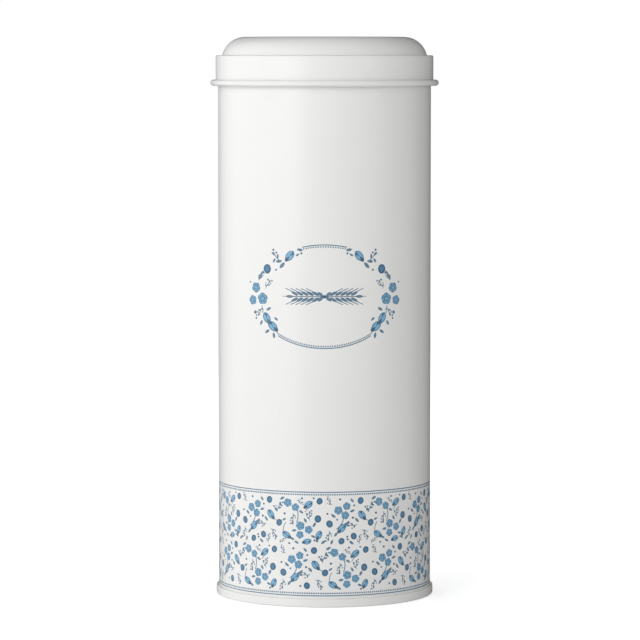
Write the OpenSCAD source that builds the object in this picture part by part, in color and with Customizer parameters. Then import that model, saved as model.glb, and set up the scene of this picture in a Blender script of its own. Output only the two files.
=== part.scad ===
// Tall round kitchen tin for dry pasta, with a loose slip-over lid.
// The tin stands on z = 0 with its axis on Z, and its side seam faces +Y.
// Every piece is one tinplate sheet, drawn as the line its middle follows and then thickened.

/* [Body] */
// Outside diameter of the body wall
body_d = 102.5; // [84:0.5:125]
// Height of the body, from the foot of the double seam to the top of the rolled rim
body_h = 259.8; // [120:0.2:320]
// Thickness of the body and base sheet
sheet_t = 0.3; // [0.22:0.01:0.4]
// Outside diameter of the rolled rim at the mouth
rim_d = 2.6; // [2:0.1:3.6]

/* [Side seam] */
// Width of the folded side seam
seam_w = 5; // [3.5:0.1:8]
// Length of plain wall left next to the rim and next to the base, so that they can be rolled
seam_lap = 2; // [1:0.5:10]
// Play between the folded layers of the side seam
fold_gap = 0.05; // [0.03:0.01:0.1]

/* [Base] */
// Height of the double seam that joins the base to the body
foot_h = 4.1; // [3:0.1:6]
// Bend radius at the foot of the double seam
foot_bend_r = 0.55; // [0.4:0.05:0.6]
// Play between the folded layers of the double seam
hook_gap = 0.12; // [0.05:0.01:0.15]
// Height of the countersink above the top of the double seam
sink_rise = 1.9; // [1.2:0.1:4]
// Bend radius at the countersink
sink_bend_r = 0.8; // [0.5:0.1:1.2]
// Width of the countersink
sink_w = 3; // [2.6:0.1:5]
// Depth that the base panel is pressed back towards the table from the countersink
panel_drop = 1.6; // [0.8:0.1:1.8]
// Height of each step ring in the base panel
step_h = 0.6; // [0.4:0.05:0.9]
// Distance in from the wall to the outer step ring
outer_step_in = 13; // [8:0.5:16]
// Distance in from the wall to the inner step ring
inner_step_in = 28; // [20:0.5:34]

/* [Lid] */
// Thickness of the lid sheet
lid_t = 0.3; // [0.22:0.01:0.4]
// Radial play between the body wall and the inside of the skirt
lid_gap = 0.85; // [0.4:0.05:1.4]
// Gap between the rim and the ledge that rests on it
seat_gap = 0.05; // [0.03:0.01:0.1]
// Height of the skirt, from the top of the ledge to the bottom of the curl
skirt_h = 14.6; // [10:0.1:24]
// Outside diameter of the curl along the skirt's edge
curl_d = 2.9; // [2:0.1:4]
// Width of the ledge, from the foot of the raised panel to the skirt
ledge_w = 2.6; // [1.8:0.1:5]
// Height of the raised panel above the ledge
dome_h = 8.8; // [5:0.1:11]
// Radius of the raised panel's edge
dome_edge_r = 11.15; // [11:0.05:16]
// Bend radius at the foot of the raised panel and at the top of the skirt
lid_bend_r = 0.65; // [0.5:0.05:1]

/* [Hidden] */
$fn = 180;

white = [0.93, 0.93, 0.92];
bend_step = 15;                         // most degrees between the points of a small bend
edge_step = 6;                          // most degrees between the points of the raised panel's edge
same_point = 0.001;                     // points of a path closer than this are one point

wall_r = (body_d - sheet_t) / 2;        // middle of the wall's sheet
fold = sheet_t + fold_gap;              // from one layer of the side seam to the next
hook = sheet_t + hook_gap;              // from one layer of the double seam to the next
hook_land = 0.5;                        // the tip of each hook stops this far short of the bend it faces

// Points of an arc about c, from angle a0 to angle a1.
function arc(c, r, a0, a1, step = bend_step) =
    let (n = max(2, ceil(abs(a1 - a0) / step)))
    [for (i = [0:n]) c + r * [cos(a0 + (a1 - a0) * i / n), sin(a0 + (a1 - a0) * i / n)]];

function unit(v) = v / norm(v);
function left_of(v) = [-v[1], v[0]];

// A path without the points that repeat where two of its stretches meet.
function joined(path) =
    [for (i = [0:len(path) - 1]) if (i == 0 || norm(path[i] - path[max(i, 1) - 1]) > same_point) path[i]];

// How far, and which way, the edge of a sheet lies from point i of its path, per unit of offset.
function mitre(path, i) =
    let (
        last = len(path) - 1,
        before = left_of(unit(path[max(i, 1)] - path[max(i, 1) - 1])),
        after = left_of(unit(path[min(i, last - 1) + 1] - path[min(i, last - 1)])),
        middle = unit(before + after)
    )
    middle / (middle * after);

// Outline of a sheet of thickness t whose middle follows the path.
function sheet(path, t) =
    let (line = joined(path), last = len(line) - 1)
    concat(
        [for (i = [0:last]) line[i] + mitre(line, i) * t / 2],
        [for (i = [last:-1:0]) line[i] - mitre(line, i) * t / 2]
    );

module revolve(path, t) {
    rotate_extrude() polygon(sheet(path, t));
}

// ---- body wall ----

rim_roll_r = (rim_d - sheet_t) / 2;
rim_c = [wall_r - rim_roll_r, body_h - rim_d / 2];
rim_open = 65;                          // angle left open where the roll comes back to the wall

wall_foot_z = sheet_t + hook_gap + sheet_t / 2 + hook;
sink_top_z = foot_h + sink_rise;
seam_z0 = sink_top_z + seam_lap;
seam_z1 = body_h - rim_d - seam_lap;

// Round the rim, down the wall, and round the foot to hook over the base.
function wall_path() = concat(
    arc(rim_c, rim_roll_r, 360 - rim_open, 0),
    arc([wall_r + hook, wall_foot_z], hook, 180, 360),
    [[wall_r + 2 * hook, foot_h - sheet_t - hook_gap - hook_land]]
);

// Both edges of the wall's sheet are folded back on themselves, and the two folds hook together in four
// layers. The folds are drawn flat, as [distance along the wall, depth inwards], and wrapped round the body
// with the middle of the seam at +Y. Each starts inside the wall's own sheet, at the groove between them.
seam_half = seam_w / 2;
hook_short = seam_w / 5;                // the tip of each fold stops this far short of the other fold
outer_s = seam_half + fold;             // where the outer fold turns in
inner_s = outer_s + fold;               // where the inner fold steps down under it
joggle_bend_r = 1.2 * sheet_t;
fold_step = 30;                         // most degrees between the points of a fold
layer_steps = 4;                        // stretches in each straight layer, so that it follows the wall
groove_end = 0.5;                       // the groove stops this far short of each end of the folds

function layer(s0, s1, depth) =
    [for (i = [0:layer_steps]) [s0 + (s1 - s0) * i / layer_steps, depth]];

function outer_fold() = concat(
    [[outer_s, 0]],
    arc([seam_half, fold], fold, 0, 90, fold_step),
    layer(seam_half, hook_short - seam_half, 2 * fold)
);

function inner_fold() = concat(
    [[inner_s, 0]],
    arc([inner_s - joggle_bend_r, 3 * fold - joggle_bend_r], joggle_bend_r, 0, 90, fold_step),
    layer(inner_s - joggle_bend_r, -seam_half, 3 * fold),
    arc([-seam_half, 2 * fold], fold, 90, 270, fold_step),
    layer(-seam_half, seam_half - hook_short, fold)
);

function degrees_along(s) = s / wall_r * 180 / PI;

function wrapped(points) =
    [for (p = points)
        let (a = 90 - degrees_along(p[0]))
        (wall_r - p[1]) * [cos(a), sin(a)]];

// The groove is cut through the sheet from the middle of one fold to the middle of the other.
module seam_groove() {
    translate([0, 0, seam_z0 + groove_end])
        rotate([0, 0, 90 - degrees_along(inner_s)])
            rotate_extrude(angle = degrees_along(inner_s - outer_s))
                translate([wall_r - sheet_t, 0]) square([2 * sheet_t, seam_z1 - seam_z0 - 2 * groove_end]);
}

module seam_folds() {
    for (path = [outer_fold(), inner_fold()])
        translate([0, 0, seam_z0])
            linear_extrude(height = seam_z1 - seam_z0) polygon(wrapped(sheet(path, sheet_t)));
}

module body_wall() {
    color(white) union() {
        difference() {
            revolve(wall_path(), sheet_t);
            seam_groove();
        }
        seam_folds();
    }
}

// ---- base ----

chuck_r = wall_r - hook;                // middle of the base's sheet where it lines the wall
hem_r = wall_r + 3 * hook;              // middle of the base's sheet outside the seam
sink_z = sink_top_z - sheet_t / 2;
panel_z = sink_z - panel_drop;
step_bend_r = 0.6;                      // bends of the steps in the panel
step_slope = 45;                        // slope between those bends

// A step at radius r, from height z0 to height z1 going outwards.
function step_at(r, z0, z1) =
    let (
        way = z1 > z0 ? 1 : -1,
        straight = abs(z1 - z0) - 2 * step_bend_r * (1 - cos(step_slope)),
        half = step_bend_r * sin(step_slope) + straight / tan(step_slope) / 2
    )
    concat(
        arc([r - half, z0 + way * step_bend_r], step_bend_r, -90 * way, (step_slope - 90) * way),
        arc([r + half, z1 - way * step_bend_r], step_bend_r, (90 + step_slope) * way, 90 * way)
    );

function base_path() = concat(
    [[0, panel_z]],
    step_at(wall_r - inner_step_in, panel_z, panel_z + step_h),
    step_at(wall_r - outer_step_in, panel_z + step_h, panel_z),
    step_at(chuck_r - sink_w, panel_z, sink_z),
    arc([chuck_r - sink_bend_r, sink_z - sink_bend_r], sink_bend_r, 90, 0),
    arc([chuck_r + foot_bend_r, sheet_t / 2 + foot_bend_r], foot_bend_r, 180, 270),
    arc([hem_r - foot_bend_r, sheet_t / 2 + foot_bend_r], foot_bend_r, 270, 360),
    arc([hem_r - hook, foot_h - sheet_t / 2 - hook], hook, 0, 180),
    [[wall_r + hook, wall_foot_z + hook_land]]
);

module base_end() {
    color(white) revolve(base_path(), sheet_t);
}

// ---- lid ----

skirt_r = body_d / 2 + lid_gap + lid_t / 2;   // middle of the skirt's sheet
ledge_z = body_h + seat_gap + lid_t / 2;      // middle of the ledge's sheet
curl_roll_r = (curl_d - lid_t) / 2;
curl_z = ledge_z + lid_t / 2 - skirt_h + curl_d / 2;
curl_open = 60;                               // angle left open where the curl comes back to the skirt

// The edge of the raised panel and the bend at its foot are two arcs that meet on the line of their centres.
centres = dome_edge_r + lid_bend_r;
edge_sweep = acos((centres - dome_h) / centres);
foot_c = [skirt_r - ledge_w, ledge_z + lid_bend_r];
edge_c = foot_c - centres * [sin(edge_sweep), cos(edge_sweep)];

function lid_path() = concat(
    [[0, ledge_z + dome_h]],
    arc(edge_c, dome_edge_r, 90, 90 - edge_sweep, edge_step),
    arc(foot_c, lid_bend_r, 270 - edge_sweep, 270),
    arc([skirt_r - lid_bend_r, ledge_z - lid_bend_r], lid_bend_r, 90, 0),
    arc([skirt_r + curl_roll_r, curl_z], curl_roll_r, 180, 540 - curl_open)
);

module lid() {
    color(white) revolve(lid_path(), lid_t);
}

body_wall();
base_end();
lid();
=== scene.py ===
"""A tall round kitchen tin with a slip lid, modelled round its packed frame.

Lengths are metres. The tin stands on z = 0 with its axis on Z, its print facing -Y and its side seam +Y.
"""
import math
from math import acos, asin, atan2, ceil, cos, dist, hypot, pi, radians, sin

import bmesh
import bpy
from bpy.props import FloatProperty, FloatVectorProperty, IntProperty, PointerProperty
from bpy.types import Operator, Panel, PropertyGroup
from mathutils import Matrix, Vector


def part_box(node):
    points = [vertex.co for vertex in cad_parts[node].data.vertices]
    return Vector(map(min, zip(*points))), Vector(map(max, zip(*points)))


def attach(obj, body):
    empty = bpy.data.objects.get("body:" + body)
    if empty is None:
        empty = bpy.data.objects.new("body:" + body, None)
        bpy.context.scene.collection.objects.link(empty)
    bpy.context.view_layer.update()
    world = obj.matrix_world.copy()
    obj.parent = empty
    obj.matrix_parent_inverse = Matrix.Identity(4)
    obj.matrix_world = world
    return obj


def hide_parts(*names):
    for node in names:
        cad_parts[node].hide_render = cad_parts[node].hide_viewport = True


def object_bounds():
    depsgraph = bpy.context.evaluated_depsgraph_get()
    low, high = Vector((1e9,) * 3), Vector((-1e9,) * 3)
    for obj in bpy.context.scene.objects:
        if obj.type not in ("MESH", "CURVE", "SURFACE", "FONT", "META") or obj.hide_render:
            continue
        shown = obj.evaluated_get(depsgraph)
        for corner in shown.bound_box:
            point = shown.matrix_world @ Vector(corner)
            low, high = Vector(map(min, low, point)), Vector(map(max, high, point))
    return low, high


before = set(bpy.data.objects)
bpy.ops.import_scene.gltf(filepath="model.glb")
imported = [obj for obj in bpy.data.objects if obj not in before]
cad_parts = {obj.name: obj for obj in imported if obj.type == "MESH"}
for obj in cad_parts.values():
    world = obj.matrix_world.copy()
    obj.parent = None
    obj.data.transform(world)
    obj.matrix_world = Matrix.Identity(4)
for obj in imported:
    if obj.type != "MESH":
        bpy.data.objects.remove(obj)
CAD_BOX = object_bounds()
WALL_LOW, WALL_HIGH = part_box("body_wall")
BASE_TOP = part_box("base_end")[1].z
LID_LOW, LID_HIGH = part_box("lid")

bl_info = {
    "name": "Kitchen Tin",
    "version": (1, 0, 0),
    "blender": (4, 5, 0),
    "location": "3D View > Sidebar > Tin",
    "description": "Models a printed tinplate kitchen tin with a slip lid",
    "category": "Add Mesh",
}

MM = 0.001
INKS = ("ink_dark", "ink_mid", "ink_light", "ink_line")
DARK, MID, LIGHT, LINE = range(len(INKS))
UPRIGHT = (pi / 2, 0, 0)
SMOOTH_BELOW = radians(35)
SAME = 1e-7  # places closer than this are one place
DOUBLE = 1e-6  # vertices closer than this are merged


def length(name, description, mm):
    """A length in metres, with its default given in millimetres."""
    return FloatProperty(name=name, description=description, default=mm * MM, unit="LENGTH", precision=5)


def degrees(name, description, turn):
    """An angle in radians, with its default given in degrees."""
    return FloatProperty(name=name, description=description, default=radians(turn), subtype="ANGLE")


def colour(name, description, default):
    """A colour without alpha."""
    return FloatVectorProperty(
        name=name, description=description, default=default, subtype="COLOR", min=0, max=1
    )


def level(name, description, default, most=1000):
    """A number between 0 and a limit."""
    return FloatProperty(name=name, description=description, default=default, min=0, max=most)


# ---- sizes and colours that a user would change ----


class TinSheetSizes(PropertyGroup):
    """Sizes of the body and base sheets."""

    sheet: length("Sheet", "Thickness of the tinplate", 0.3)
    rim: length("Rim", "Outside diameter of the rolled rim", 2.6)
    rim_open: degrees("Rim opening", "Angle left open where the rim comes back to the wall", 65)
    fold_gap: length("Seam play", "Play between the layers of the side seam", 0.05)
    seam_lap: length("Seam lap", "Plain wall left between the side seam and the rim or base", 2)
    foot: length("Foot", "Height of the double seam", 4.1)
    foot_bend: length("Foot bend", "Bend radius at the foot of the double seam", 0.55)
    hook_gap: length("Hook play", "Play between the layers of the double seam", 0.12)
    hook_land: length("Hook land", "How far the tip of each hook stops short of the bend it faces", 0.5)
    sink: length("Countersink", "Width of the countersink in the base", 3)
    sink_bend: length("Countersink bend", "Bend radius at the countersink", 0.8)
    panel_drop: length("Panel drop", "Depth from the countersink to the base panel", 1.6)
    step: length("Step", "Height of each step ring in the base", 0.6)
    step_bend: length("Step bend", "Bend radius of the step rings", 0.6)
    outer_step_in: length("Outer step", "Distance in from the wall to the outer step ring", 13)
    inner_step_in: length("Inner step", "Distance in from the wall to the inner step ring", 28)
    segments: IntProperty(name="Segments", description="Flat stretches round the tin", default=256, min=64)
    rows: IntProperty(name="Rows", description="Rows of faces up the wall", default=16, min=2)


class TinLidSizes(PropertyGroup):
    """Sizes of the lid sheet."""

    sheet: length("Sheet", "Thickness of the tinplate", 0.3)
    curl: length("Curl", "Outside diameter of the curl along the skirt", 2.9)
    curl_open: degrees("Curl opening", "Angle left open where the curl comes back to the skirt", 60)
    dome: length("Raised panel", "Height of the raised panel above the ledge", 8.8)
    dome_edge: length("Panel edge", "Radius of the raised panel's edge", 11.15)
    ledge: length("Ledge", "Width from the foot of the raised panel to the skirt", 2.6)
    bend: length("Bend", "Bend radius at the ledge", 0.65)


class TinPrintSizes(PropertyGroup):
    """Sizes of the printed decoration."""

    ink: length("Ink", "How far the thinnest ink stands out from the enamel", 0.02)
    ink_step: length("Ink step", "How much further each layer of ink stands out", 0.004)
    ink_root: length("Ink root", "How far the ink reaches into the enamel", 0.02)
    line: length("Line", "Width of the border lines", 0.5)
    bead: length("Bead", "Radius of the beads along the border lines", 0.42)
    bead_gap: length("Bead spacing", "Distance from one bead to the next", 1.1)
    bead_in: length("Bead inset", "Distance from a border line to its row of beads", 1.15)
    band_low: length("Band bottom", "Height of the band's lower line", 5.5)
    band_high: length("Band top", "Height of the band's upper line", 54.7)
    plain: length("Plain strip", "Width of the unprinted strip at the side seam", 9.2)
    tiles: IntProperty(name="Repeats", description="Repeats of the flowers round the tin", default=7, min=1)
    oval_height: length("Oval height", "Height of the oval's middle", 147.1)
    oval_half_width: length("Oval half width", "Half of the oval's width along the wall", 35.4)
    oval_half_height: length("Oval half height", "Half of the oval's height", 24.6)


class TinFinishes(PropertyGroup):
    """Colours of the enamel, inks and metal."""

    enamel: colour("Enamel", "White enamel outside", (0.86, 0.86, 0.85))
    lacquer: colour("Lacquer", "Lacquered tinplate inside", (0.93, 0.82, 0.58))
    metal: colour("Metal", "Bare tinplate", (0.66, 0.67, 0.68))
    ink_dark: colour("Dark ink", "Darkest blue of the print", (0.015, 0.08, 0.165))
    ink_mid: colour("Middle ink", "Middle blue of the print", (0.03, 0.18, 0.35))
    ink_light: colour("Light ink", "Lightest blue of the print", (0.18, 0.42, 0.62))
    ink_line: colour("Line ink", "Grey blue of the lines and leaves", (0.1, 0.19, 0.28))
    wear: level("Wear", "How much enamel is rubbed off the edges", 0.1, 1)


class TinStageSizes(PropertyGroup):
    """The camera, lights and floor."""

    lens: level("Lens", "Focal length in millimetres", 200.8)
    camera_distance: length("Camera distance", "From the camera to the tin's axis", 1723)
    camera_height: length("Camera height", "Height of the camera above the floor", 261)
    camera_tilt: degrees("Camera tilt", "How far the camera looks down", 4.27)
    camera_pan: degrees("Camera pan", "How far the camera looks to the left of the axis", 0.072)
    floor: length("Floor", "Radius of the floor", 1600)
    key_power: level("Key light", "Power of the large light at the left", 8.1)
    fill_power: level("Fill light", "Power of the light at the right", 2.3)
    top_power: level("Top light", "Power of the light overhead", 1.2)
    back_power: level("Back lights", "Power of each light behind", 5)
    sky: level("Sky", "Strength of the even light all round", 1.15)


GROUPS = {
    "tin_sheet": TinSheetSizes,
    "tin_lid": TinLidSizes,
    "tin_print": TinPrintSizes,
    "tin_finish": TinFinishes,
    "tin_stage": TinStageSizes,
}


# ---- modelling helpers ----


def only(piece):
    """Selects one object and makes it active."""
    bpy.ops.object.select_all(action="DESELECT")
    piece.select_set(True)
    bpy.context.view_layer.objects.active = piece


def named(name):
    """Names the active object and its mesh."""
    piece = bpy.context.object
    piece.name = piece.data.name = name
    return piece


def edit(piece):
    """Starts editing an object."""
    only(piece)
    bpy.ops.object.mode_set(mode="EDIT")


def leave_edit():
    """Goes back to object mode."""
    bpy.ops.object.mode_set(mode="OBJECT")


def middle_of(element):
    """Where a vertex, edge or face is."""
    corners = getattr(element, "verts", [element])
    return sum((corner.co for corner in corners), Vector()) / len(corners)


def everything(kind="FACE"):
    """In edit mode, selects all the elements of one kind."""
    bpy.ops.mesh.select_mode(type=kind)
    bpy.ops.mesh.select_all(action="SELECT")


def pick(piece, kind, test):
    """In edit mode, selects only the VERT, EDGE or FACE elements whose place passes the test."""
    bpy.ops.mesh.select_mode(type=kind)
    bpy.ops.mesh.select_all(action="DESELECT")
    mesh = bmesh.from_edit_mesh(piece.data)
    elements = {"VERT": mesh.verts, "EDGE": mesh.edges, "FACE": mesh.faces}[kind]
    picked = 0
    for element in elements:
        if test(middle_of(element)):
            element.select_set(True)
            picked += 1
    mesh.select_flush_mode()
    bmesh.update_edit_mesh(piece.data)
    if not picked:
        raise RuntimeError(f"nothing on {piece.name} was picked")


def finished(piece, kind, **settings):
    """Adds a modifier and applies it."""
    only(piece)
    modifier = piece.modifiers.new(kind.lower(), kind)
    for key, value in settings.items():
        setattr(modifier, key, value)
    bpy.ops.object.modifier_apply(modifier=modifier.name)


def joined(pieces, name):
    """Applies the pieces' places to their meshes and joins them into the first one."""
    bpy.ops.object.select_all(action="DESELECT")
    for piece in pieces:
        piece.select_set(True)
    bpy.context.view_layer.objects.active = pieces[0]
    bpy.ops.object.transform_apply()
    if len(pieces) > 1:
        bpy.ops.object.join()
    return named(name)


def moved(piece, place, turn=0):
    """Turns a piece about Y, moves it, and applies its place to its mesh."""
    piece.rotation_euler = (0, turn, 0)
    piece.location = place
    only(piece)
    bpy.ops.object.transform_apply()
    return piece


def arc(centre, radius, start, end, step=12):
    """Points of an arc in a (radius, height) profile, at most step degrees apart."""
    count = max(2, ceil(abs(end - start) / step))
    turns = [radians(start + (end - start) * i / count) for i in range(count + 1)]
    return [(centre[0] + radius * cos(a), centre[1] + radius * sin(a)) for a in turns]


def edge_ring(name, place, segments):
    """A ring of edges round the axis, at a (radius, height) place."""
    bpy.ops.mesh.primitive_circle_add(vertices=segments, radius=place[0], location=(0, 0, place[1]))
    bpy.ops.object.transform_apply()
    return named(name)


def extrude_up(distance):
    """Extrudes the selected edges along +Z."""
    bpy.ops.mesh.extrude_edges_move(TRANSFORM_OT_translate={"value": (0, 0, distance)})


def extend_ring(place, profile):
    """Extrudes the selected ring of edges from its place through each (radius, height) of the profile."""
    for target in profile:
        if dist(place, target) < SAME:
            continue
        extrude_up(target[1] - place[1])
        size = target[0] / place[0]
        bpy.ops.transform.resize(value=(size, size, 1), center_override=(0, 0, target[1]))
        place = target


def face_out(piece, height):
    """Merges doubles, and turns an open sheet's faces so that the outermost one at this height faces out."""
    edit(piece)
    bpy.ops.mesh.select_all(action="SELECT")
    bpy.ops.mesh.remove_doubles(threshold=DOUBLE)
    bpy.ops.mesh.normals_make_consistent(inside=False)
    leave_edit()
    crossing = []
    for face in piece.data.polygons:
        heights = [piece.data.vertices[corner].co.z for corner in face.vertices]
        if min(heights) <= height <= max(heights):
            crossing.append(face)
    outer = max(crossing, key=lambda face: hypot(face.center.x, face.center.y))
    if outer.normal.x * outer.center.x + outer.normal.y * outer.center.y < 0:
        edit(piece)
        bpy.ops.mesh.select_all(action="SELECT")
        bpy.ops.mesh.flip_normals()
        leave_edit()


def turned(name, profile, front):
    """Turns a (radius, height) profile that runs in to the axis into a sheet that faces out at a height."""
    piece = edge_ring(name, profile[0], bpy.context.scene.tin_sheet.segments)
    edit(piece)
    bpy.ops.mesh.select_all(action="SELECT")
    extend_ring(profile[0], profile[1:])
    height = profile[-1][1]
    near = 0.1 * MM
    bpy.ops.mesh.merge(type="CENTER")
    pick(piece, "VERT", lambda place: hypot(place.x, place.y) < near and abs(place.z - height) < near)
    bpy.ops.transform.resize(value=(0, 0, 1), center_override=(0, 0, height))
    leave_edit()
    face_out(piece, front)
    return piece


def plate(piece, sheet, outside, inside):
    """Gives an open sheet its thickness, with the finishes of its two sides and bare cut edges."""
    for material in (outside, inside, shared("cut_edge", cut_edge)):
        piece.data.materials.append(material)
    finished(
        piece, "SOLIDIFY", thickness=sheet, offset=0, use_even_offset=True, use_quality_normals=True,
        material_offset=1, material_offset_rim=2,
    )
    bpy.ops.object.shade_smooth_by_angle(angle=SMOOTH_BELOW)


# ---- shader helpers ----


def linked(value):
    """Whether a value is another node's output, and not a number, colour or vector."""
    return isinstance(value, bpy.types.NodeSocket)


def feed(socket, value):
    """Links an output to an input, or sets the input to a constant."""
    if linked(value):
        socket.id_data.links.new(value, socket)
    else:
        socket.default_value = value


def supply(made, inputs):
    """Feeds a node's inputs, given by name or number."""
    for key, value in inputs.items():
        feed(made.inputs[key], value)
    return made


def node(kind, inputs, **settings):
    """A new node in the tree that its inputs come from, with its settings."""
    made = next(filter(linked, inputs.values())).id_data.nodes.new(kind)
    for key, value in settings.items():
        setattr(made, key, value)
    return supply(made, inputs)


def maths(operation, first, second):
    """A Math node between two sockets or numbers. Returns its output."""
    return node("ShaderNodeMath", {0: first, 1: second}, operation=operation).outputs[0]


def noise(vector, scale, detail=2.0, rough=0.5):
    """A Noise Texture read at a vector. Returns its value."""
    inputs = {"Vector": vector, "Scale": scale, "Detail": detail, "Roughness": rough}
    return node("ShaderNodeTexNoise", inputs).outputs["Fac"]


def stretched(vector, scale):
    """A vector with each axis scaled, to draw a pattern out along an axis."""
    return node("ShaderNodeMapping", {"Vector": vector, "Scale": scale}).outputs[0]


def ranged(value, low, high, to_low=0.0, to_high=1.0):
    """Maps a value from one range to another, and clamps it."""
    inputs = dict(enumerate((value, low, high, to_low, to_high)))
    return node("ShaderNodeMapRange", inputs).outputs[0]


def opaque(tint):
    """A colour with its alpha, or an output as it is."""
    return tint if linked(tint) else (*tint, 1)


def mixed(factor, first, second):
    """Mixes two colours, each an output or a colour without alpha."""
    inputs = {0: factor, 6: opaque(first), 7: opaque(second)}
    return node("ShaderNodeMix", inputs, data_type="RGBA").outputs[2]


def parts_of(vector):
    """The x, y and z of a vector."""
    return node("ShaderNodeSeparateXYZ", {0: vector}).outputs


def radius_of(vector):
    """Distance from the tin's axis, and height."""
    x, y, z = parts_of(vector)
    squares = [maths("MULTIPLY", part, part) for part in (x, y)]
    return maths("SQRT", maths("ADD", *squares), 0.0), z


def new_group(name, inputs, outputs):
    """A node group with a Vector and these inputs and outputs: its input values and its result."""
    tree = bpy.data.node_groups.new(name, "ShaderNodeTree")
    tree.interface.new_socket("Vector", in_out="INPUT", socket_type="NodeSocketVector")
    for label, default in inputs.items():
        kind = "NodeSocketColor" if isinstance(default, tuple) else "NodeSocketFloat"
        tree.interface.new_socket(label, in_out="INPUT", socket_type=kind).default_value = default
    for label, kind in outputs.items():
        tree.interface.new_socket(label, in_out="OUTPUT", socket_type=kind)
    return tree.nodes.new("NodeGroupInput").outputs, tree.nodes.new("NodeGroupOutput").inputs


def placed_group(name, vector, values):
    """The outputs of a node group, placed in a material with its own values."""
    inputs = {"Vector": vector, **values}
    return node("ShaderNodeGroup", inputs, node_tree=bpy.data.node_groups[name]).outputs


def new_material(name):
    """A material, with its shader and the Object coordinates of its piece."""
    material = bpy.data.materials.new(name)
    material.use_nodes = True
    tree = material.node_tree
    return material, tree.nodes["Principled BSDF"], tree.nodes.new("ShaderNodeTexCoord").outputs["Object"]


def bumped(height, distance):
    """A normal, bumped by a height that stands for this distance."""
    inputs = {"Strength": 1.0, "Distance": distance, "Height": height}
    return node("ShaderNodeBump", inputs).outputs[0]


# ---- shared effects ----


def make_gloss_flow():
    """The slight waviness of stoved enamel and varnish, with its height and its roughness."""
    inputs = {"Wave Scale": 420.0, "Grain Scale": 2600.0, "Grain": 0.25, "Roughness": 0.2, "Smears": 0.06}
    outputs = {"Height": "NodeSocketFloat", "Roughness": "NodeSocketFloat"}
    given, result = new_group("gloss_flow", inputs, outputs)
    vector = given["Vector"]
    wave = noise(vector, given["Wave Scale"], 1.0)
    grain = noise(vector, given["Grain Scale"], 2.0)
    fine = maths("MULTIPLY", grain, given["Grain"])
    feed(result["Height"], maths("ADD", wave, fine))
    smear = noise(stretched(vector, (1, 1, 0.7)), 34.0, 4.0, 0.62)
    centred = ranged(smear, 0.3, 0.7, -1.0, 1.0)
    spread = maths("MULTIPLY", centred, given["Smears"])
    feed(result["Roughness"], maths("ADD", given["Roughness"], spread))


def make_rub_wear():
    """Where a coating is rubbed through: patchy along an edge, and nothing away from it."""
    inputs = {"Edge": 0.0, "Amount": 0.25, "Patch Scale": 160.0}
    given, result = new_group("rub_wear", inputs, {"Mask": "NodeSocketFloat"})
    vector = given["Vector"]
    patch = noise(vector, given["Patch Scale"], 5.0, 0.65)
    reach = maths("MULTIPLY", given["Edge"], given["Amount"])
    both = maths("ADD", patch, reach)
    feed(result["Mask"], ranged(both, 0.78, 0.82))


def make_tone_drift():
    """Slow and fine changes of tone over a coating, with a few specks of dust."""
    inputs = {"Colour": (0.8, 0.8, 0.8, 1), "Drift": 0.03, "Specks": 0.2}
    given, result = new_group("tone_drift", inputs, {"Colour": "NodeSocketColor"})
    vector = given["Vector"]
    slow = ranged(noise(vector, 22.0, 3.0), 0.3, 0.7)
    fine = ranged(noise(vector, 900.0, 1.0), 0.2, 0.8)
    both = maths("MULTIPLY", maths("ADD", slow, fine), 0.5)
    darker = maths("MULTIPLY", both, given["Drift"])
    drifted = mixed(darker, given["Colour"], (0.45, 0.43, 0.38))
    dust = node("ShaderNodeTexVoronoi", {"Vector": vector, "Scale": 190.0}, feature="F1")
    grain = ranged(dust.outputs["Distance"], 0.03, 0.05, 1.0, 0.0)
    chosen = node("ShaderNodeSeparateColor", {0: dust.outputs["Color"]}).outputs[0]
    few = ranged(chosen, 0.82, 0.83)
    speck = maths("MULTIPLY", maths("MULTIPLY", grain, few), given["Specks"])
    feed(result["Colour"], mixed(speck, drifted, (0.3, 0.29, 0.27)))


# ---- materials ----


VARNISH = {"Coat Weight": 0.6, "Coat Roughness": 0.07, "Coat IOR": 1.5, "IOR": 1.5}


def drift(vector, tint, amount, specks):
    """A colour with the shared changes of tone and specks."""
    values = {"Colour": opaque(tint), "Drift": amount, "Specks": specks}
    return placed_group("tone_drift", vector, values)[0]


def flow(vector, wave, grain, rough, smears):
    """The height and roughness of a surface, with the shared waviness, grain and smears."""
    values = {"Wave Scale": wave, "Grain Scale": grain, "Roughness": rough, "Smears": smears}
    return placed_group("gloss_flow", vector, values)


def enamel(name, near_edge):
    """White stoved enamel. near_edge tells, from radius and height, how near an edge that rubs is."""
    finish = bpy.context.scene.tin_finish
    material, shader, vector = new_material(name)
    rub = {"Edge": near_edge(*radius_of(vector)), "Amount": finish.wear, "Patch Scale": 900.0}
    worn = placed_group("rub_wear", vector, rub)[0]
    tone = drift(vector, finish.enamel, 0.045, 0.35)
    height, rough = flow(vector, 420.0, 2600.0, 0.24, 0.02)
    surface = {
        "Base Color": mixed(worn, tone, finish.metal),
        "Roughness": maths("ADD", rough, maths("MULTIPLY", worn, 0.15)),
        "Metallic": worn,
        "Normal": bumped(height, 0.01 * MM),
    }
    supply(shader, {**surface, **VARNISH})
    return material


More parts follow.
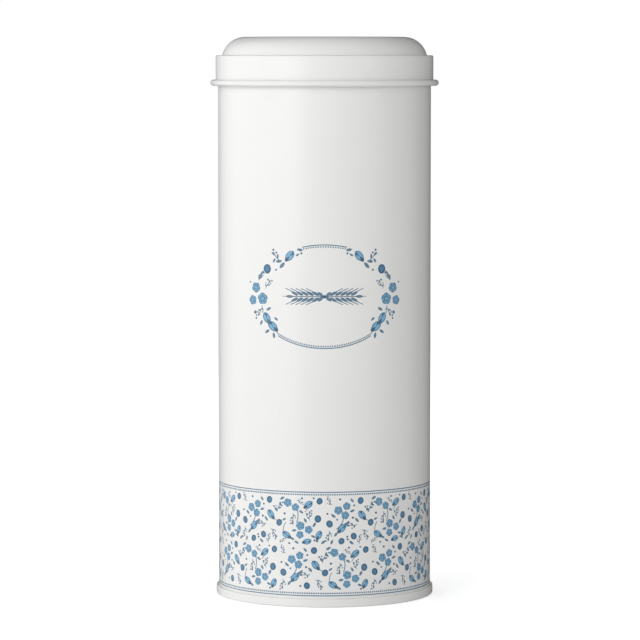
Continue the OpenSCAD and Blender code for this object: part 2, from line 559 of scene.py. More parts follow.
def lacquered_sheet():
    """Tinplate under clear gold lacquer, with the grain of the rolled sheet."""
    material, shader, vector = new_material("lacquered_tinplate")
    tone = drift(vector, bpy.context.scene.tin_finish.lacquer, 0.16, 0.5)
    height, rough = flow(vector, 120.0, 1400.0, 0.3, 0.09)
    rolled = noise(stretched(vector, (900, 900, 14)), 1.0, 3.0, 0.6)
    bands = ranged(rolled, 0.25, 0.75)
    surface = {
        "Base Color": mixed(maths("MULTIPLY", bands, 0.22), tone, (0.42, 0.36, 0.25)),
        "Roughness": maths("ADD", rough, maths("MULTIPLY", bands, 0.1)),
        "Normal": bumped(maths("ADD", bands, height), 0.004 * MM),
    }
    supply(shader, {**surface, "Metallic": 0.5, "Coat Weight": 0.25, "Coat Roughness": 0.18})
    return material


def cut_edge():
    """The bare cut edge of the sheet."""
    material, shader, vector = new_material("cut_edge")
    tone = drift(vector, bpy.context.scene.tin_finish.metal, 0.3, 0.6)
    height, rough = flow(vector, 2000.0, 6000.0, 0.36, 0.1)
    surface = {"Base Color": tone, "Roughness": rough, "Normal": bumped(height, 0.01 * MM)}
    supply(shader, {**surface, "Metallic": 1.0})
    return material


def ink(name, tint):
    """Printing ink under varnish: slightly mottled, with the same gloss as the enamel."""
    material, shader, vector = new_material(name)
    mottle = ranged(noise(vector, 1500.0, 3.0, 0.6), 0.3, 0.75)
    paler = mixed(maths("MULTIPLY", mottle, 0.12), tint, (0.3, 0.55, 0.7))
    tone = drift(vector, paler, 0.05, 0.15)
    height, rough = flow(vector, 420.0, 2600.0, 0.27, 0.02)
    surface = {"Base Color": tone, "Roughness": rough, "Normal": bumped(height, 0.012 * MM)}
    supply(shader, {**surface, **VARNISH})
    return material


def shared(name, make):
    """A material of this name, made the first time it is asked for."""
    return bpy.data.materials.get(name) or make()


def lacquer():
    """The lacquered finish inside the body and base."""
    return shared("lacquered_tinplate", lacquered_sheet)


def inks():
    """The print's four inks, in the order of their slots."""
    finish = bpy.context.scene.tin_finish
    return [shared(name, lambda name=name: ink(name, getattr(finish, name))) for name in INKS]


# ---- the body ----


def hook_pitch(sizes):
    """From one layer of the double seam to the next."""
    return sizes.sheet + sizes.hook_gap


def wall_middle(sizes):
    """Radius of the middle of the wall's sheet."""
    return WALL_HIGH.x - sizes.sheet / 2 - 2 * hook_pitch(sizes)


def wall_outside(sizes):
    """Radius of the enamelled side of the wall."""
    return wall_middle(sizes) + sizes.sheet / 2


def along_wall(distance, depth, radius):
    """A place in the side seam: a distance clockwise from +Y and a depth inwards, as (x, y)."""
    turn = pi / 2 - distance / radius
    return (radius - depth) * cos(turn), (radius - depth) * sin(turn)


def trace(piece, radius, start, path):
    """From the end of the ring at start, extrudes one vertex through the path's (distance, depth) places."""
    here = along_wall(*start, radius)
    pick(piece, "VERT", lambda place: dist(place[:2], here) < 0.1 * MM)
    for target in path:
        there = along_wall(*target, radius)
        move = (there[0] - here[0], there[1] - here[1], 0)
        if hypot(*move) < SAME:
            continue
        bpy.ops.mesh.extrude_vertices_move(TRANSFORM_OT_translate={"value": move})
        here = there


def seam_paths(sizes, stretch):
    """The folds at the two ends of the wall. stretch is the length of one stretch of the ring."""
    pitch = sizes.sheet + sizes.fold_gap
    half = 2 * stretch
    flat = 0.4 * half
    step_down = half + 2 * pitch
    lead_in = 3 * stretch - step_down
    low_bend = 1.2 * sizes.sheet
    outer = arc((half, pitch), pitch, -90, 90, 20)
    outer += [(flat, 2 * pitch), (-flat, 2 * pitch), (flat - half, 2 * pitch)]
    inner = arc((3 * stretch, lead_in), lead_in, -90, -180, 15)
    inner += arc((step_down - low_bend, 3 * pitch - low_bend), low_bend, 0, 90, 20)
    inner += [(flat, 3 * pitch), (-flat, 3 * pitch)]
    inner += arc((-half, 2 * pitch), pitch, 90, 270, 20)
    inner += [(-flat, pitch), (flat, pitch), (half - flat, pitch)]
    return outer, inner


def roll_on(piece, radius, stretch, height, first, profile):
    """Carries the wall on past the side seam: closes the ring, then extrudes it through the profile."""
    slack = 0.005 * MM

    def on_wall(place):
        return hypot(place.x, place.y) > radius - slack

    def near_gap(place):
        distance = (pi / 2 - atan2(place.y, place.x)) * radius
        return on_wall(place) and 1.5 * stretch < distance < 3.5 * stretch

    pick(piece, "VERT", lambda place: on_wall(place) and abs(place.z - height) < slack)
    extrude_up(first - height)
    low, high = sorted((height, first))
    pick(piece, "VERT", lambda place: near_gap(place) and low - slack < place.z < high + slack)
    bpy.ops.mesh.edge_face_add()
    pick(piece, "VERT", lambda place: on_wall(place) and abs(place.z - first) < slack)
    extend_ring((radius, first), profile)


class TIN_OT_body(Operator):
    """Models the body wall, with its folded side seam, rolled rim and flanged foot"""

    bl_idname = "tin.body"
    bl_label = "Body Wall"

    def execute(self, context):
        sizes = context.scene.tin_sheet
        radius = wall_middle(sizes)
        hook = hook_pitch(sizes)
        stretch = 2 * pi * radius / sizes.segments
        low = BASE_TOP + sizes.seam_lap
        high = WALL_HIGH.z - sizes.rim - sizes.seam_lap
        piece = edge_ring("tin_body", (radius, low), sizes.segments)
        edit(piece)
        gap = along_wall(2.5 * stretch, 0, radius)
        pick(piece, "EDGE", lambda place: dist(place[:2], gap) < 0.1 * MM)
        bpy.ops.mesh.delete(type="EDGE")
        outer, inner = seam_paths(sizes, stretch)
        trace(piece, radius, (2 * stretch, 0), outer)
        trace(piece, radius, (3 * stretch, 0), inner)
        everything("EDGE")
        for _ in range(sizes.rows):
            extrude_up((high - low) / sizes.rows)
        roll = (sizes.rim - sizes.sheet) / 2
        rim_centre = (radius - roll, WALL_HIGH.z - sizes.rim / 2)
        rim = arc(rim_centre, roll, 0, 360 - math.degrees(sizes.rim_open))
        roll_on(piece, radius, stretch, high, high + sizes.seam_lap / 2, rim)
        foot_centre = (radius + hook, WALL_LOW.z + sizes.sheet / 2 + hook)
        tip = (radius + 2 * hook, sizes.foot - sizes.sheet - sizes.hook_gap - sizes.hook_land)
        foot = arc(foot_centre, hook, 180, 360) + [tip]
        roll_on(piece, radius, stretch, low, low - sizes.seam_lap / 2, foot)
        leave_edit()
        face_out(piece, (low + high) / 2)
        rub = lambda out, up: ranged(up, WALL_HIGH.z - MM, WALL_HIGH.z)
        plate(piece, sizes.sheet, enamel("enamel_body", rub), lacquer())
        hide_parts("body_wall")
        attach(piece, "tin")
        return {"FINISHED"}


# ---- the base ----


def base_step(sizes, place, start, end):
    """A step at a radius, from one height to another going outwards."""
    way = 1 if end > start else -1
    bend = sizes.step_bend
    straight = abs(end - start) - 2 * bend * (1 - cos(pi / 4))
    half = bend * sin(pi / 4) + straight / 2
    inner = arc((place - half, start + way * bend), bend, -90 * way, -45 * way)
    outer = arc((place + half, end - way * bend), bend, 135 * way, 90 * way)
    return inner + outer


class TIN_OT_base(Operator):
    """Models the stamped base, hooked over the body's flange in a double seam"""

    bl_idname = "tin.base"
    bl_label = "Base"

    def execute(self, context):
        sizes = context.scene.tin_sheet
        wall = wall_middle(sizes)
        hook = hook_pitch(sizes)
        half = sizes.sheet / 2
        chuck, hem = wall - hook, wall + 3 * hook
        bend = sizes.foot_bend
        sink = BASE_TOP - half
        panel = sink - sizes.panel_drop
        tip = (wall + hook, WALL_LOW.z + half + hook + sizes.hook_land)
        outwards = base_step(sizes, wall - sizes.inner_step_in, panel, panel + sizes.step)
        outwards += base_step(sizes, wall - sizes.outer_step_in, panel + sizes.step, panel)
        outwards += base_step(sizes, chuck - sizes.sink, panel, sink)
        outwards += arc((chuck - sizes.sink_bend, sink - sizes.sink_bend), sizes.sink_bend, 90, 0)
        seam = arc((wall + 2 * hook, sizes.foot - half - hook), hook, 180, 0)
        seam += arc((hem - bend, half + bend), bend, 360, 270)
        seam += arc((chuck + bend, half + bend), bend, 270, 180)
        centre = [(radius * MM, panel) for radius in (16, 9, 4, 1.5)]
        piece = turned("tin_base", [tip, *seam, *outwards[::-1], *centre], sizes.foot / 2)
        rub = lambda out, up: ranged(up, 0.5 * MM, 0.0)
        plate(piece, sizes.sheet, enamel("enamel_base", rub), lacquer())
        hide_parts("base_end")
        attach(piece, "tin")
        return {"FINISHED"}


# ---- the lid ----


class TIN_OT_lid(Operator):
    """Models the drawn lid, with its raised panel, ledge, skirt and outward curl"""

    bl_idname = "tin.lid"
    bl_label = "Lid"

    def execute(self, context):
        sizes = context.scene.tin_lid
        half = sizes.sheet / 2
        roll = (sizes.curl - sizes.sheet) / 2
        skirt = LID_HIGH.x - sizes.curl + half
        top = LID_HIGH.z - half
        ledge = top - sizes.dome
        centres = sizes.dome_edge + sizes.bend
        sweep = math.degrees(acos((centres - sizes.dome) / centres))
        foot = (skirt - sizes.ledge, ledge + sizes.bend)
        edge = (foot[0] - centres * sin(radians(sweep)), top - sizes.dome_edge)
        curl = arc((skirt + roll, LID_LOW.z + sizes.curl / 2), roll, 540 - math.degrees(sizes.curl_open), 180)
        profile = curl + arc((skirt - sizes.bend, ledge - sizes.bend), sizes.bend, 0, 90)
        profile += arc(foot, sizes.bend, 270, 270 - sweep)
        profile += arc(edge, sizes.dome_edge, 90 - sweep, 90, 3)
        profile += [(radius * MM, top) for radius in (30, 20, 11, 5, 1.8)]
        piece = turned("tin_lid", profile, (LID_LOW.z + ledge) / 2)
        rub = lambda out, up: ranged(out, LID_HIGH.x - 0.5 * MM, LID_HIGH.x)
        both_sides = enamel("enamel_lid", rub)
        plate(piece, sizes.sheet, both_sides, both_sides)
        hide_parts("lid")
        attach(piece, "lid")
        return {"FINISHED"}


# ---- the print: flat shapes in the XZ plane, drawn about the origin and facing -Y ----


def inked(name):
    """Names the flat shape that was just added, stands it up, gives it the inks and starts editing it."""
    bpy.ops.object.transform_apply()
    piece = named(name)
    for material in inks():
        piece.data.materials.append(material)
    edit(piece)
    return piece


def paint(slot):
    """Gives the selected faces one of the inks."""
    bpy.context.object.active_material_index = slot
    bpy.ops.object.material_slot_assign()


def squeeze(x, z):
    """Scales the selected part of a flat shape about the origin."""
    bpy.ops.transform.resize(value=(x, 1, z), center_override=(0, 0, 0))


def disc(name, points, radius, slot):
    """A flat many-sided disc of ink, left in edit mode with its face selected."""
    bpy.ops.mesh.primitive_circle_add(vertices=points, radius=radius, fill_type="NGON", rotation=UPRIGHT)
    piece = inked(name)
    everything()
    paint(slot)
    return piece


def inset(depth, slot):
    """Insets the selected face and inks what is left inside."""
    bpy.ops.mesh.inset(thickness=depth)
    paint(slot)


def laid(piece, layer):
    """Leaves edit mode and gives a flat shape the thickness of its layer of ink."""
    if piece.mode == "EDIT":
        leave_edit()
    sizes = bpy.context.scene.tin_print
    thick = sizes.ink + layer * sizes.ink_step + sizes.ink_root
    finished(piece, "SOLIDIFY", thickness=thick, offset=1)
    return moved(piece, (0, sizes.ink_root, 0))


def turn_of(place):
    """Angle of a flat place about the origin, from straight up, in turns."""
    return (atan2(place.x, place.z) / (2 * pi)) % 1


def blossom():
    """An open flower with five petals: a dark outline, light petals and a ring at its heart."""
    petals, radius = 5, 2.02 * MM
    points = 4 * petals
    piece = disc("blossom", points, radius, MID)
    pick(piece, "VERT", lambda place: round(turn_of(place) * points) % 4 == 0)
    squeeze(0.84, 0.84)
    everything()
    inset(0.33 * MM, LIGHT)
    inset(0.46 * MM, DARK)
    inset(0.3 * MM, LIGHT)
    bpy.ops.mesh.poke()
    between = lambda place: 1.15 * MM < hypot(place.x, place.z) < 1.55 * MM
    pick(piece, "FACE", lambda place: between(place) and int(turn_of(place) * points) % 4 == 1)
    paint(MID)
    return laid(piece, 4)


def berry():
    """A dark round berry with a lighter middle."""
    piece = disc("berry", 14, 1.62 * MM, DARK)
    squeeze(0.92, 1.04)
    inset(0.6 * MM, MID)
    bpy.ops.mesh.poke()
    return laid(piece, 4)


def bud():
    """A closed flower: a rounded bud in a dark cup."""
    long = 2.8 * MM
    piece = disc("bud", 14, long, MID)
    squeeze(0.58, 1)
    pick(piece, "VERT", lambda place: place.z > 0.7 * long)
    squeeze(0.7, 0.97)
    pick(piece, "VERT", lambda place: place.z < -0.5 * long)
    squeeze(0.75, 1.05)
    everything()
    inset(0.34 * MM, LIGHT)
    bpy.ops.mesh.poke()
    pick(piece, "FACE", lambda place: place.z < -0.3 * long)
    paint(DARK)
    pick(piece, "FACE", lambda place: 0 < place.x < 0.6 * MM and -0.2 * long < place.z < 0.7 * long)
    paint(DARK)
    return laid(piece, 3)


def leaf():
    """A small pointed leaf."""
    long = 1.4 * MM
    piece = disc("leaf", 8, long, LINE)
    squeeze(0.46, 1)
    pick(piece, "VERT", lambda place: 0.3 * long < abs(place.z) < 0.9 * long)
    squeeze(1, 0.8)
    everything()
    bpy.ops.mesh.poke()
    return laid(piece, 2)


def dot(radius, slot, layer=1):
    """A round dot of ink."""
    return laid(disc("dot", 10, radius, slot), layer)


def small_dot():
    """The dot that's scattered among the flowers."""
    return dot(0.55 * MM, DARK)


def stroke(long, wide, bend, pieces, slot, layer=0):
    """A thin line that starts at the origin, runs up, and bends by an angle towards +X."""
    bpy.ops.mesh.primitive_grid_add(
        x_subdivisions=1, y_subdivisions=pieces, size=1, rotation=UPRIGHT, location=(0, 0, 0.5)
    )
    piece = inked("stroke")
    everything()
    squeeze(wide, long)
    paint(slot)
    leave_edit()
    if bend:
        finished(piece, "SIMPLE_DEFORM", deform_method="BEND", deform_axis="Y", angle=bend)
    return laid(piece, layer)


def repeated(motif, places, name):
    """Joins copies of a motif, one at each (x, z, turn in degrees, size), with x and z in mm."""
    copies = []
    for x, z, turn, size in places:
        copy = motif.copy()
        copy.data = motif.data.copy()
        copy.location = (x * MM, 0, z * MM)
        copy.rotation_euler = (0, radians(turn), 0)
        copy.scale = (size, 1, size)
        bpy.context.collection.objects.link(copy)
        copies.append(copy)
    bpy.data.objects.remove(motif)
    return joined(copies, name)


def sprig():
    """A bent stem with leaves and dots."""
    stem = stroke(6.4 * MM, 0.42 * MM, radians(38), 5, LINE)
    leaves = repeated(leaf(), [(-0.55, 1.9, -48, 0.8), (1.5, 3.0, 60, 0.85), (1.35, 5.5, 10, 0.95)], "leaves")
    dots = repeated(small_dot(), [(2.6, 4.5, 0, 0.9), (3.0, 6.5, 0, 1), (-1.0, 3.6, 0, 0.8)], "dots")
    return joined([stem, leaves, dots], "sprig")


def flower_stem():
    """A longer bent stem."""
    return stroke(7.5 * MM, 0.5 * MM, radians(45), 6, LINE)


MOTIFS = {
    "blossoms": blossom,
    "berries": berry,
    "buds": bud,
    "sprigs": sprig,
    "stems": flower_stem,
    "leaves": leaf,
    "dots": small_dot,
}


def wrap(piece, height, name):
    """Bends a flat print round the wall, with its middle at the front, and settles what it rides on."""
    radius = wall_outside(bpy.context.scene.tin_sheet)
    across = [vertex.co.x for vertex in piece.data.vertices]
    angle = (max(across) - min(across)) / radius
    finished(piece, "SIMPLE_DEFORM", deform_method="BEND", deform_axis="Z", angle=angle)
    moved(piece, (0, -radius, height))
    named(name)
    bpy.ops.object.shade_smooth_by_angle(angle=SMOOTH_BELOW)
    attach(piece, "tin")


def printed_width(context):
    """Width of the printed sheet, from one side of the plain strip round to the other."""
    return 2 * pi * wall_outside(context.scene.tin_sheet) - context.scene.tin_print.plain


class TIN_OT_border(Operator):
    """Prints the lines and rows of beads above and below the flower band"""

    bl_idname = "tin.border"
    bl_label = "Band Borders"

    def execute(self, context):
        sizes = context.scene.tin_print
        width = printed_width(context)
        beads = round(width / sizes.bead_gap)
        along = [(i + 0.5) / beads * width / MM - width / MM / 2 for i in range(beads)]
        for side, height, way in (("lower", sizes.band_low, 1), ("upper", sizes.band_high, -1)):
            line = stroke(width, sizes.line, 0, 240, LINE)
            moved(line, (-width / 2, 0, 0), pi / 2)
            places = [(x, way * sizes.bead_in / MM, 0, 1) for x in along]
            row = repeated(dot(sizes.bead, LINE), places, "beads")
            wrap(joined([line, row], "border"), height, f"print_border_{side}")
        return {"FINISHED"}


# One repeat of the flowers: (x, z, turn in degrees, size), in mm from its lower left corner.
REPEAT = {
    "blossoms": [
        (6.6, 16, 0, 1), (10.6, 17.9, 30, 0.92), (9.9, 13.6, 50, 0.96), (27, 19.4, 10, 1),
        (30.8, 17.3, 40, 0.92), (33.2, 8.6, 20, 1.02), (37.2, 6.8, 60, 0.94), (33, 4.3, 5, 0.9),
    ],
    "berries": [
        (17.4, 20.4, 10, 1), (2.4, 9.6, -20, 1.04), (22.6, 9.8, 25, 1), (41.6, 12, 0, 1.06),
        (14, 3.6, -15, 0.98), (42.4, 20.4, 15, 0.96), (30.4, 24.8, 30, 0.96),
    ],
    "buds": [
        (18.2, 13.4, -38, 1), (37, 18.6, 52, 0.95), (8.2, 7.4, 42, 1), (26.4, 4, -58, 0.95),
        (42, 4.2, 24, 0.9), (14, 24.6, 75, 0.85),
    ],
    "sprigs": [
        (21.4, 14.6, 8, 0.8), (15.6, 9, -108, 0.78), (29.6, 14.6, 168, 0.72), (37.6, 11.2, -12, 0.66),
        (3.6, 18.6, -52, 0.6), (18.2, 6.6, 128, 0.72), (2.2, 6.4, 172, 0.72), (31.4, 20.6, 96, 0.5),
        (39.2, 23.3, -15, 0.6), (0.6, 23.3, 25, 0.5),
    ],
    "stems": [
        (9.2, 12.6, 190, 0.9), (31.6, 16.4, 160, 0.9), (19, 11.6, 100, 0.7), (35.4, 15, 25, 0.6),
        (24.8, 5, -10, 0.7),
    ],
    "leaves": [
        (4.2, 13.4, 130, 1), (13.3, 15.6, 70, 0.95), (13.2, 20.6, -40, 0.9), (24.2, 21.4, 60, 1),
        (33.6, 15.2, -60, 0.9), (30.2, 6.3, 80, 0.95), (39.9, 9.2, 30, 1), (35.6, 11.2, -30, 0.9),
        (15.6, 11.2, 140, 1), (20.9, 16, 140, 0.9), (5.4, 4.6, 40, 0.95), (11, 9.9, 40, 1),
        (29.2, 2.4, 120, 0.9), (39.4, 3.6, -70, 0.9), (25.2, 11.4, 60, 0.8), (21.8, 24.4, 50, 1),
        (35.2, 24, -50, 1), (9, 24.2, -60, 0.9), (25.8, 24.4, 20, 0.9),
    ],
    "dots": [
        (13.6, 12.4, 0, 1), (14.2, 18.2, 0, 0.9), (23.4, 18.3, 0, 0.9), (25.4, 14.2, 0, 1),
        (36.4, 14.2, 0, 0.9), (40, 1.8, 0, 0.9), (29.4, 9.6, 0, 0.9), (21, 3, 0, 1), (6, 11.6, 0, 0.8),
        (10.8, 3.4, 0, 0.9), (34, 21.6, 0, 0.9), (39.6, 21.8, 0, 0.8), (1.4, 14.4, 0, 0.9),
        (19.8, 17.4, 0, 0.8), (7.4, 21.2, 0, 1), (18.8, 24.8, 0, 1), (33.4, 25.6, 0, 0.9),
        (5.4, 23.6, 0, 0.9),
    ],
}


class TIN_OT_flowers(Operator):
    """Prints the band of scattered flowers round the foot of the body"""

    bl_idname = "tin.flowers"
    bl_label = "Flower Band"

    def execute(self, context):
        sizes = context.scene.tin_print
        width = printed_width(context) / MM
        tile = width / sizes.tiles
        low = (sizes.band_low + sizes.bead_in) / MM
        row = ((sizes.band_high - sizes.bead_in) / MM - low) / 2
        top_margin = 1

        def all_over(places):
            found = []
            for upper in (0, 1):
                for column in range(sizes.tiles):
                    for x, z, turn, size in places:
                        if upper and z > row - top_margin:
                            continue
                        across = (x + tile * (column + upper / 2)) % width
                        found.append((across - width / 2, low + z + upper * row, turn, size))
            return found

        for name, places in REPEAT.items():
            wrap(repeated(MOTIFS[name](), all_over(places), name), 0, f"print_{name}")
        return {"FINISHED"}


# ---- the oval wreath ----


def oval_arc(sizes, way, reach):
    """The oval's line and beads at its top (way 1) or bottom (-1), out to a share of its half width."""
    wide, tall = sizes.oval_half_width, sizes.oval_half_height
    bpy.ops.mesh.primitive_circle_add(vertices=144, radius=1, rotation=UPRIGHT)
    piece = inked("oval_line")
    pick(piece, "VERT", lambda place: place.z * way < 0 or abs(place.x) > reach)
    bpy.ops.mesh.delete(type="VERT")
    bpy.ops.mesh.select_all(action="SELECT")
    squeeze(wide, tall)
    extrude_up(0)
    squeeze(1 - sizes.line / wide, 1 - sizes.line / tall)
    everything()
    paint(LINE)
    leave_edit()
    if piece.data.polygons[0].normal.y > 0:
        edit(piece)
        bpy.ops.mesh.flip_normals()
    laid(piece, 0)
    inner = (wide - sizes.bead_in, tall - sizes.bead_in)
    span = asin(reach)
    beads = round(2 * span * inner[0] / sizes.bead_gap)
    turns = [span * (2 * i / (beads - 1) - 1) for i in range(beads)]
    places = [(inner[0] * sin(a) / MM, way * inner[1] * cos(a) / MM, 0, 0.9) for a in turns]
    return joined([piece, repeated(dot(sizes.bead, LINE), places, "oval_beads")], "oval")


# The left side of the wreath: (x, z, turn in degrees, size), in mm from the oval's middle.
WREATH = {
    "blossoms": [(-34.9, 3.7, 0, 1.22), (-31, -1.4, 35, 1.38), (-36.9, -2.3, 20, 1.12)],
    "berries": [(-28.4, 12.7, 0, 1.35), (-35.4, -8, 20, 0.5)],
    "buds": [(-16.7, 19, 40, 1.14), (-28.6, -10.6, -32, 1.16), (-25.3, -14.4, -50, 1.2)],
    "sprigs": [
        (-20.8, 16.2, -62, 0.98), (-33.2, 7, 14, 0.66), (-29.2, 3.4, 18, 0.7), (-31.2, -4.8, -168, 0.8),
    ],
    "leaves": [
        (-20.4, 14.6, 42, 1.4), (-22, 16.4, 75, 1.1), (-11.7, 22, 100, 1.1), (-12.8, 19.6, 60, 0.8),
        (-24.6, 16.8, 30, 0.9), (-32.4, 9, 30, 1.4), (-31.2, 10.8, 40, 1), (-24.8, -18.6, -8, 1.1),
        (-28.4, -16.8, 55, 1.1), (-31.8, -12.8, 30, 1), (-27.6, -6.2, 60, 1.1), (-23.6, -10.8, -50, 0.9),
    ],
    "dots": [
        (-10.9, 20.4, 0, 0.9), (-23.6, 12.4, 0, 0.9), (-38.6, 6.2, 0, 0.8), (-28, 7.6, 0, 0.9),
        (-34.8, -10.8, 0, 0.9),
    ],
}


class TIN_OT_wreath(Operator):
    """Prints the oval wreath on the front"""

    bl_idname = "tin.wreath"
    bl_label = "Wreath"

    def execute(self, context):
        sizes = context.scene.tin_print
        lines = joined([oval_arc(sizes, 1, 0.32), oval_arc(sizes, -1, 0.67)], "oval_lines")
        wrap(lines, sizes.oval_height, "print_oval_lines")
        groups = [repeated(MOTIFS[name](), places, name) for name, places in WREATH.items()]
        side = joined(groups, "wreath_side")
        finished(side, "MIRROR", use_mirror_merge=False)
        wrap(side, sizes.oval_height, "print_wreath")
        return {"FINISHED"}


# ---- the wheat ears in the middle of the wreath ----


def grain():
    """A pointed grain of wheat with a paler middle."""
    long = 1.85 * MM
    piece = disc("grain", 10, long, DARK)
    squeeze(0.37, 1)
    pick(piece, "VERT", lambda place: place.z > 0.5 * long)
    squeeze(0.8, 1.05)
    everything()
    inset(0.22 * MM, LINE)
    bpy.ops.mesh.poke()
    return laid(piece, 3)


class TIN_OT_wheat(Operator):
    """Prints a pair of wheat ears in the middle of the wreath"""

    bl_idname = "tin.wheat"
    bl_label = "Wheat Ears"

    def execute(self, context):
        pairs, pitch, first = 5, 2.5, 4.2
        rows = [first + pitch * i for i in range(pairs)]
        grain_out, grain_turn = 1.45, 28
        awn_on, awn_out, awn_turn = 1.3, 2.4, 24
        grains = [(x, grain_out * way, 90 - grain_turn * way, 1) for x in rows for way in (1, -1)]
        grains.append((first + pitch * pairs, 0, 90, 1))
        awns = [(x + awn_on, awn_out * way, 90 - awn_turn * way, 1) for x in rows for way in (1, -1)]
        awns.append((first + pitch * pairs + 1.5, 0, 90, 0.6))
        stem = stroke((first + pitch * pairs) * MM, 0.4 * MM, 0, 8, DARK)
        moved(stem, (0, 0, 0), pi / 2)
        ear = joined(
            [
                stem,
                repeated(grain(), grains, "grains"),
                repeated(stroke(3.5 * MM, 0.38 * MM, 0.0, 3, LINE, 1), awns, "awns"),
                repeated(leaf(), [(1.9, 1.15, 52, 1.2), (1.9, -1.15, 128, 1.2)], "blades"),
            ],
            "ear",
        )
        finished(ear, "MIRROR", use_mirror_merge=False)
        knot = repeated(dot(0.85 * MM, DARK, 5), [(0, 0, 0, 1)], "knot")
        wrap(joined([ear, knot], "wheat"), context.scene.tin_print.oval_height, "print_wheat")
        return {"FINISHED"}


# ---- the stage ----


def area_light(name, power, place, aim, size):
    """A soft rectangular light at a place, turned to face its aim."""
    bpy.ops.object.light_add(type="AREA", location=place)
    light = named(name)
    light.data.shape = "RECTANGLE"
    light.data.size, light.data.size_y = size
    light.data.energy = power
    light.visible_glossy = False
    towards = Vector(aim) - light.location
    light.rotation_euler = towards.to_track_quat("-Z", "Y").to_euler()


def surfaced(factor, first, second, output):
    """Mixes two shaders and feeds them to their tree's output."""
    mix = node("ShaderNodeMixShader", {0: factor, 1: first.outputs[0], 2: second.outputs[0]})
    feed(mix.id_data.nodes[output].inputs["Surface"], mix.outputs[0])


def floor_material(radius):
    """A pale floor that fades out towards its edge, and isn't seen from below or in reflections."""
    material, shader, vector = new_material("pale_floor")
    nodes = material.node_tree.nodes
    path = nodes.new("ShaderNodeLightPath").outputs
    surface = {
        "Base Color": drift(vector, (0.86, 0.86, 0.86), 0.01, 0.0),
        "Roughness": 0.7,
        "Specular IOR Level": 0.15,
        "Emission Color": (1, 1, 1, 1),
        "Emission Strength": maths("MULTIPLY", path["Is Camera Ray"], 0.5),
    }
    supply(shader, surface)
    solid, gone = 0.35 * radius, 0.95 * radius
    fade = ranged(radius_of(vector)[0], solid, gone)
    below = nodes.new("ShaderNodeNewGeometry").outputs["Backfacing"]
    unseen = maths("MAXIMUM", below, path["Is Glossy Ray"])
    clear = nodes.new("ShaderNodeBsdfTransparent")
    surfaced(maths("MAXIMUM", fade, unseen), shader, clear, "Material Output")
    return material


def white_room(sky):
    """A white backdrop to the camera, and an even light to the tin that is weaker behind and at the sides."""
    world = bpy.data.worlds.new("white_room")
    world.use_nodes = True
    bpy.context.scene.world = world
    nodes = world.node_tree.nodes
    x, y, z = parts_of(nodes.new("ShaderNodeTexCoord").outputs["Generated"])
    behind = maths("MULTIPLY", ranged(x, 0.0, -0.2), ranged(y, 0.8, 0.9))
    left = maths("MAXIMUM", behind, ranged(x, -0.3, -0.5))
    right = ranged(y, 0.2, 0.5, 0.45, 0.15)
    front = ranged(y, 0.94, 0.35, 0.34, 1.0)
    low = ranged(z, 0.3, 0.9, 1.0, 0.3)
    sides = maths("MAXIMUM", left, right)
    strength = maths("MULTIPLY", sides, maths("MULTIPLY", front, low))
    shade = mixed(strength, (0, 0, 0), (1, 1, 1))
    light = node("ShaderNodeBackground", {"Color": shade, "Strength": sky})
    backdrop = supply(nodes["Background"], {"Color": (1, 1, 1, 1), "Strength": 1.0})
    to_camera = nodes.new("ShaderNodeLightPath").outputs["Is Camera Ray"]
    surfaced(to_camera, light, backdrop, "World Output")


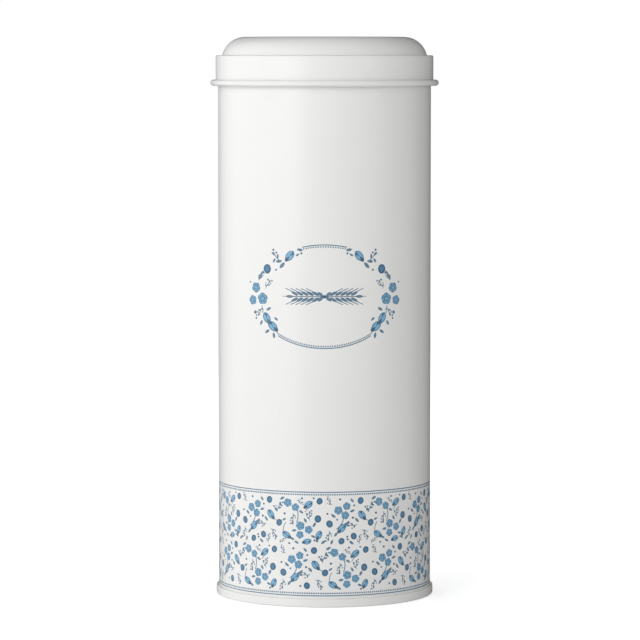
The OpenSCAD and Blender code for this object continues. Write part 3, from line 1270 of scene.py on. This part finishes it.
class TIN_OT_stage(Operator):
    """Sets up the floor, the soft studio light and the camera"""

    bl_idname = "tin.stage"
    bl_label = "Stage"

    def execute(self, context):
        sizes = context.scene.tin_stage
        bpy.ops.mesh.primitive_circle_add(vertices=96, radius=sizes.floor, fill_type="NGON")
        floor = named("floor")
        edit(floor)
        hole = wall_middle(context.scene.tin_sheet) + 0.8 * MM
        bpy.ops.mesh.inset(thickness=sizes.floor / 2)
        bpy.ops.mesh.inset(thickness=sizes.floor / 2 - hole)
        bpy.ops.mesh.delete(type="FACE")
        leave_edit()
        floor.data.materials.append(floor_material(sizes.floor))
        middle = (0, 0, CAD_BOX[1].z / 2)
        area_light("key_light", sizes.key_power, (-0.75, -1.15, 0.62), middle, (0.9, 1.1))
        area_light("fill_light", sizes.fill_power, (1.1, -0.9, 0.5), middle, (0.7, 1.0))
        area_light("top_light", sizes.top_power, (-0.1, -0.15, 1.25), middle, (1.1, 1.1))
        area_light("back_light_left", sizes.back_power, (-0.55, 1.2, 0.8), middle, (0.7, 0.9))
        area_light("back_light_right", sizes.back_power, (0.55, 1.2, 0.8), middle, (0.7, 0.9))
        white_room(sizes.sky)
        camera = bpy.data.objects.new("camera", bpy.data.cameras.new("camera"))
        bpy.context.collection.objects.link(camera)
        camera.data.sensor_width = 36
        camera.data.lens = sizes.lens
        camera.data.clip_start = 0.01
        camera.data.clip_end = 50
        camera.location = (0, -sizes.camera_distance, sizes.camera_height)
        camera.rotation_euler = (pi / 2 - sizes.camera_tilt, 0, sizes.camera_pan)
        context.scene.camera = camera
        context.scene.view_settings.view_transform = "Standard"
        return {"FINISHED"}


class TIN_PT_sidebar(Panel):
    """Lists the tin's steps and sizes"""

    bl_idname = "TIN_PT_sidebar"
    bl_label = "Kitchen Tin"
    bl_space_type = "VIEW_3D"
    bl_region_type = "UI"
    bl_category = "Tin"

    def draw(self, context):
        for step in STEPS:
            self.layout.operator(step.bl_idname)
        for name, group in GROUPS.items():
            box = self.layout.box()
            box.label(text=group.__doc__)
            for setting in group.__annotations__:
                box.prop(getattr(context.scene, name), setting)


SHEETS = (TIN_OT_body, TIN_OT_base, TIN_OT_lid)
PRINTS = (TIN_OT_border, TIN_OT_flowers, TIN_OT_wreath, TIN_OT_wheat)
STEPS = (*SHEETS, *PRINTS, TIN_OT_stage)
CLASSES = (*GROUPS.values(), *STEPS, TIN_PT_sidebar)


def register():
    for each in CLASSES:
        bpy.utils.register_class(each)
    for name, group in GROUPS.items():
        setattr(bpy.types.Scene, name, PointerProperty(type=group))


def unregister():
    for name in GROUPS:
        delattr(bpy.types.Scene, name)
    for each in reversed(CLASSES):
        bpy.utils.unregister_class(each)


def main():
    register()
    make_gloss_flow()
    make_rub_wear()
    make_tone_drift()
    bpy.ops.tin.body()
    bpy.ops.tin.base()
    bpy.ops.tin.lid()
    bpy.ops.tin.border()
    bpy.ops.tin.flowers()
    bpy.ops.tin.wreath()
    bpy.ops.tin.wheat()
    bpy.ops.tin.stage()
    bpy.context.view_layer.update()


if __name__ == "__main__":
    main()
